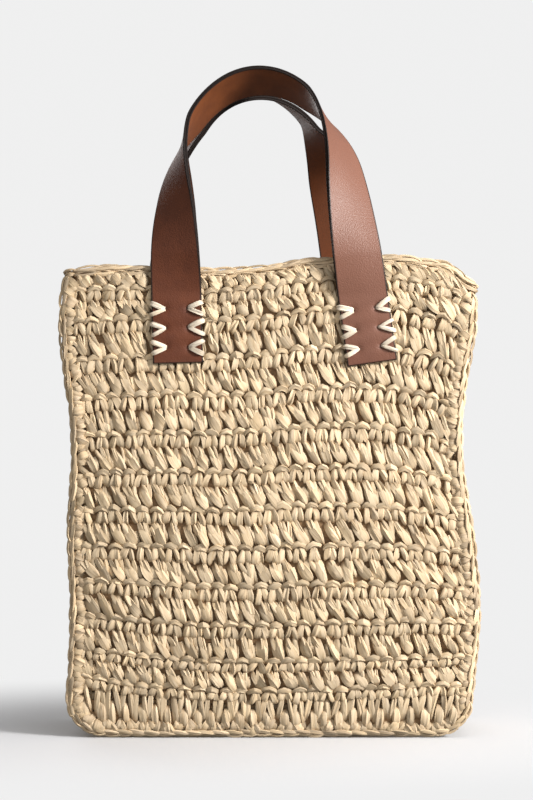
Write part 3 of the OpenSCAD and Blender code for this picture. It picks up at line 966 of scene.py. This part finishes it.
def strap_frames(loop):
    """Middle line of a strap from its left cut end over the crown to its right cut end, with its across and
    outward directions. Worked out in millimetres and returned in metres."""
    slope = {k: math.tan(math.radians(loop[k])) for k in ("left", "right")}
    base_z = loop["crown"] - loop["rise"]
    meet = {k: math.atan(loop["rise"] / loop["half"] * slope[k]) for k in slope}

    def arch(t):
        return np.stack([loop["mid"] + loop["half"] * np.cos(t), base_z + loop["rise"] * np.sin(t)], -1)

    top_l, top_r = arch(math.pi - meet["left"]), arch(meet["right"])
    end = strap_end_z / MM
    foot_l = np.array([top_l[0] - (top_l[1] - end) * slope["left"], end])
    foot_r = np.array([top_r[0] + (top_r[1] - end) * slope["right"], end])
    share = np.linspace(0, 1, strap_rings)[:, None]
    over = arch(np.linspace(math.pi - meet["left"], meet["right"], strap_rings))
    rising, falling = foot_l + (top_l - foot_l) * share[:-1], top_r + (foot_r - top_r) * share[1:]
    flat = np.concatenate([rising, over, falling])
    left = np.arange(len(flat)) < len(flat) / 2
    x, z = flat[:, 0], flat[:, 1]

    def twist(h):
        t_l = np.clip((h - twist_from) / (loop["left_top"] - twist_from), 0, 1) ** 1.15
        t = np.clip((h - twist_from) / (loop["right_top"] - twist_from), 0, 1)
        return np.radians(90) * np.where(left, t_l, loop["even"] * t + (1 - loop["even"]) * t**3)

    steep = math.tan(math.radians(loop["lean"]))
    rise = np.clip(z - lean_from, 0, None)
    lean = np.where(rise < lean_ramp, steep * rise**2 / (2 * lean_ramp), steep * (rise - lean_ramp / 2))
    lift = strap_w / MM / 2 * np.sin(twist(np.minimum(z, lean_from))) * (1 - smooth((z - lean_from) / 80))
    yaw = math.radians(loop["turn"]) * smooth((z - turn_from) / 100)
    dx = x - loop["mid"]
    y = lean - strap_mid_y / MM - lift + dx * np.sin(yaw)
    middle = np.stack([loop["mid"] + dx * np.cos(yaw), y, z], -1)
    middle = soften(middle)
    along = unit(np.gradient(middle, axis=0))
    tilt = np.arctan(steep * np.clip(rise / lean_ramp, 0, 1))
    tilt = tilt + math.radians(loop["tilt"]) * smooth((z - tilt_from) / 70)
    face = np.stack([np.sin(yaw) * np.cos(tilt), -np.cos(yaw) * np.cos(tilt), np.sin(tilt)], -1)
    face = unit(face - along * (face * along).sum(-1, keepdims=True))
    turn = soften(twist(z)[:, None])
    out = np.cos(turn) * face - np.sin(turn) * np.cross(along, face)
    across = np.cross(along, out)
    if loop["side"] > 0:
        mirror = np.array([1, -1, 1])
        return middle * mirror * MM, across * mirror, out * mirror
    return middle * MM, across, out


def ply_section(low, high, facing):
    """Outline of one ply across the strap as (across, out) rows with softly rounded corners. facing is 1
    where the shown face is at `high`, and -1 where it is at `low`."""
    w, r, bevel = strap_w / 2, 0.55 * MM, 0.22 * MM
    turn = np.linspace(0, math.pi / 2, 5)
    shown, hidden = (high, low) if facing > 0 else (low, high)
    near = shown - facing * r
    c1 = np.stack([-w + r - r * np.cos(turn), near + facing * r * np.sin(turn)], -1)
    flat = np.linspace(-w + r, w - r, 42)[1:-1]
    crown = 0.12 * MM * (1 - (flat / w) ** 2)
    top = np.stack([flat, shown + facing * crown], -1)
    c2 = np.stack([w - r + r * np.sin(turn), near + facing * r * np.cos(turn)], -1)
    raised = hidden + facing * bevel
    back = np.array([[w, raised], [w - bevel, hidden], [-w + bevel, hidden], [-w, raised]])
    section = np.concatenate([c1, top, c2, back])
    return section if facing > 0 else section[::-1]


def stitch_holes():
    """(across, up from the cut end) of the stitch holes of one strap end."""
    x = strap_w / 2 - hole_inset
    return [(side * x, first_stitch + row * stitch_pitch) for row in range(stitch_rows) for side in (-1, 1)]


def build_ply(name, frames, low, high, facing, face_material, seed):
    """One ply of a strap: dented at its stitch holes, with painted shade in them, puffed up between them,
    worn and painted along its edges, and given painted light towards its right leg."""
    middle, across, out = frames
    section = ply_section(low, high, facing)
    n, k = len(section), len(middle)
    verts = middle[:, None] + across[:, None] * section[None, :, :1] + out[:, None] * section[None, :, 1:2]
    run = distance_along(middle)
    total = run[-1]
    from_end = np.minimum(run, total - run)[:, None]
    a = section[None, :, 0] + 0 * from_end
    is_face = np.isclose(np.abs(section[:, 1]), max(abs(low), abs(high)), atol=0.3 * MM)[None, :]
    dent, dark = np.zeros((k, n)), np.zeros((k, n))
    for hx, hz in stitch_holes():
        d = np.hypot(a - hx, from_end - hz)
        inner = np.hypot(a - hx * 0.90, from_end - hz)
        dent += -1.3 * MM * np.exp(-(d / (3.4 * MM)) ** 2)
        # painted shade: a near-black spot in each stitch hole
        dark = np.maximum(dark, np.exp(-(inner / (1.15 * MM)) ** 4))
    waves = np.cos(2 * math.pi * (from_end - first_stitch) / stitch_pitch)
    sewn = np.exp(-((from_end - 28 * MM) / (22 * MM)) ** 4)
    puff = (0.7 - 0.25 * waves) * MM * sewn * (1 - (a / (strap_w / 2)) ** 2)
    soft = 0.22 * MM * wander(run[:, None], a * 1.5, 0.05, seed)
    verts = verts + out[:, None] * ((dent + puff + soft) * is_face * facing)[..., None]
    edge_gap = np.minimum(strap_w / 2 - np.abs(a), from_end)
    edge_wear = np.clip(1 - edge_gap / (2.6 * MM), 0, 1) ** 2
    paint = np.clip((0.9 * MM - edge_gap) / (0.3 * MM), 0, 1)
    # Towards the right leg the grain is smoother and its colour shifts to painted light: painted sheen on
    # the grain face, painted shade on the tan face.
    polish_and_painted_light = smooth((run[:, None] / total - 0.5) / 0.2) * (1 - 0.25 * np.exp(-(from_end / (16 * MM)) ** 2))
    # The second mark is the edge paint together with the painted shade in the stitch holes; the third is
    # the polish and the right leg's painted light.
    marks = np.stack([edge_wear, np.maximum(dark * is_face, paint), polish_and_painted_light + 0 * a, 1 + 0 * a], -1)

    i = np.arange(k - 1)[:, None] * n
    j = np.arange(n)[None, :]
    j2 = (j + 1) % n
    quads = np.stack([i + j, i + n + j, i + n + j2, i + j2], -1).reshape(-1)
    girth = distance_along(np.vstack([section, section[:1]]))
    u0, u1 = run[:-1, None], run[1:, None]
    v0, v1 = girth[j], girth[j + 1]
    painted = np.abs(section[:, 0]) > strap_w / 2 - 0.42 * MM
    face_paint = (painted & np.roll(painted, -1))[None, :] & np.ones((k - 1, 1), bool)
    loops = np.concatenate([quads, np.arange(n), np.arange(n)[::-1] + (k - 1) * n])
    cap_uv = np.stack([girth[:-1], section[:, 1]], -1)
    uvs = np.concatenate([quad_uvs((u0, u1, u1, u0), (v0, v0, v1, v1)), cap_uv, cap_uv[::-1]])
    totals = np.concatenate([np.full((k - 1) * n, 4), [n, n]])
    index = np.concatenate([face_paint.astype(int).reshape(-1), [1, 1]])
    return new_mesh(name, verts.reshape(-1, 3), loops, totals, uvs, marks.reshape(-1, 4),
                    [face_material, edge_paint], material_index=index)


def v_stitches(name, frames, at_start):
    """Six V stitches on one strap end: each hole sends two arms over the strap's edge into the crochet."""
    middle, across, out = frames
    run = distance_along(middle)
    strands = Strands(10)
    face = ply_t + 0.2 * MM
    rings = 13
    share = np.linspace(0, 1, rings)

    def spot(a, up, height):
        r = np.clip(up if at_start else run[-1] - up, 0, run[-1])
        x = unit(read_rows(r, run, across))
        o = unit(read_rows(r, run, out))
        return read_rows(r, run, middle) + x * a[..., None] + o * height[..., None], o

    holes = np.array(stitch_holes())
    count = len(holes)
    side = np.sign(holes[:, :1])
    profile = 1.25 + 0.65 * np.sin(math.pi * np.clip(share * 1.05, 0, 1)) ** 0.7 + 0.25 * share
    for up in (-1, 1):
        reach = np.array([-0.06, 0.06, 0.42, 0.84, 1.04, 1.10])[None, :] * hole_inset
        climb = np.array([0.02, 0.12, 0.50, 0.92, 1.08, 1.12])[None, :] * up * stitch_spread
        high = np.array([-1.6, 0.5, 1.5, 1.5, -0.2, -4.4])[None, :] * MM + face
        climb = climb * (1 + 0.15 * each(count)) + 0.4 * MM * each(count)
        reach = reach * (1 + 0.05 * each(count))
        arms = np.stack([holes[:, :1] + side * reach, holes[:, 1:] + climb, high + 0 * reach], -1)
        arms = np.stack([through_points(arm, rings) for arm in arms])
        centre, normal = spot(arms[..., 0], arms[..., 1], arms[..., 2])
        wide = profile[None, :] * MM * (1 + 0.10 * each(count))
        strands.add(centre, normal, wide, 1.0 * MM, *shades(count, (0.2, 0.25), (0, 0.2)), 0.0)
    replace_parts(bag_piece(strands, name, pale_raffia), name)


for k, (where, loop) in enumerate(LOOPS.items()):
    frames = strap_frames(loop)
    for low, high, facing, ply, leather, slot_name in (
            (0.0, ply_t, 1, "outer_ply", grain_leather, "grain_leather"),
            (-ply_t, 0.0, -1, "inner_ply", tan_leather, "tan_leather")):
        piece = build_ply(f"{where}_strap_{ply}", frames, low, high, facing, leather, 80 + k)
        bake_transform(piece)
        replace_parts(piece, f"{where}_handle_{ply}", f"{where}_left_end_{ply}", f"{where}_right_end_{ply}")
    v_stitches(f"{where}_left_stitches", frames, True)
    v_stitches(f"{where}_right_stitches", frames, False)

# ---- floor, light and camera

backdrop = (0.868, 0.868, 0.868)
bag_middle = Vector((0, 0, 0.25))


def floor():
    """Plain pale floor that fades into the backdrop's tone away from the bag."""
    fade_from, fade_to, half_size = 0.10, 0.34, 6.0
    m = Nodes(bpy.data.materials.new("pale_floor"))
    m.set(m.shader, "Base Color", (0.57, 0.575, 0.59))
    m.set(m.shader, "Roughness", 0.9)
    m.set(m.shader, "Specular IOR Level", 0.1)
    place = m.node("ShaderNodeTexCoord").outputs["Object"]
    stretched = m.node("ShaderNodeMapping", Vector=place, Location=(0.05, 0, 0), Scale=(0.7, 1, 1))
    length = m.vector_math("LENGTH")
    m.set(length, 0, stretched.outputs[0])
    fade = m.node("ShaderNodeMapRange", Value=length.outputs["Value"])
    m.set(fade, "From Min", fade_from)
    m.set(fade, "From Max", fade_to)
    fade.interpolation_type = "SMOOTHSTEP"
    glow = m.node("ShaderNodeEmission", Color=backdrop, Strength=1.0)
    m.mix_shaders("Material Output", fade.outputs[0], m.shader, glow)
    mesh = bpy.data.meshes.new("floor")
    corners = [(half_size * x, half_size * y, 0) for x, y in ((-1, -1), (1, -1), (1, 1), (-1, 1))]
    mesh.from_pydata(corners, [], [(0, 1, 2, 3)])
    mesh.materials.append(m.owner)
    piece = new_object("floor", mesh)
    piece.visible_diffuse = False
    piece.visible_glossy = False


def area_light(name, place, size, watts, colour=(1, 1, 1)):
    """A round soft light that points at the middle of the bag."""
    data = bpy.data.lights.new(name, "AREA")
    data.shape = "DISK"
    data.size = size
    data.energy = watts
    data.color = colour
    lamp = new_object(name, data)
    lamp.location = place
    lamp.rotation_mode = "QUATERNION"
    lamp.rotation_quaternion = (bag_middle - Vector(place)).to_track_quat("-Z", "Y")


def world():
    """Soft studio fill, strongest from the front right, with a pale backdrop tone for the camera."""
    dark, bright = 0.20, 0.78
    studio = bpy.data.worlds.new("studio")
    bpy.context.scene.world = studio
    w = Nodes(studio)
    facing = w.vector_math("DOT_PRODUCT")
    w.set(facing, 0, w.node("ShaderNodeTexCoord").outputs["Generated"])
    w.set(facing, 1, Vector((0.62, -0.62, 0.48)).normalized())
    strength = w.node("ShaderNodeMapRange", Value=facing.outputs["Value"])
    for key, value in (("From Min", -0.5), ("From Max", 1.0), ("To Min", dark), ("To Max", bright)):
        w.set(strength, key, value)
    fill = w.node("ShaderNodeBackground", Color=(1.0, 0.985, 0.97), Strength=strength.outputs[0])
    seen = w.node("ShaderNodeBackground", Color=backdrop)
    w.mix_shaders("World Output", w.node("ShaderNodeLightPath").outputs["Is Camera Ray"], fill, seen)


def camera():
    """Level camera in front of the bag, near half its height, far enough for a flat studio look."""
    sensor = 36.0
    seen_height = 640 * MM
    distance = 1.70
    data = bpy.data.cameras.new("camera")
    data.sensor_width = sensor
    data.sensor_fit = "AUTO"
    data.lens = sensor * distance / seen_height
    data.clip_start, data.clip_end = 0.05, 50
    cam = new_object("camera", data)
    cam.location = (-3.6 * MM, -half_depth - distance, 270.4 * MM)
    cam.rotation_euler = (math.pi / 2, 0, 0)
    bpy.context.scene.camera = cam


floor()
area_light("key", (1.38, -0.92, 0.86), 0.50, 57, (1.0, 0.975, 0.95))
area_light("fill", (-1.2, -2.0, 0.5), 1.4, 3)
area_light("top", (0.4, -0.3, 1.9), 0.9, 7)
area_light("back", (-1.0, 2.2, 0.9), 1.8, 22)
world()
camera()
bpy.context.scene.view_settings.view_transform = "Standard"
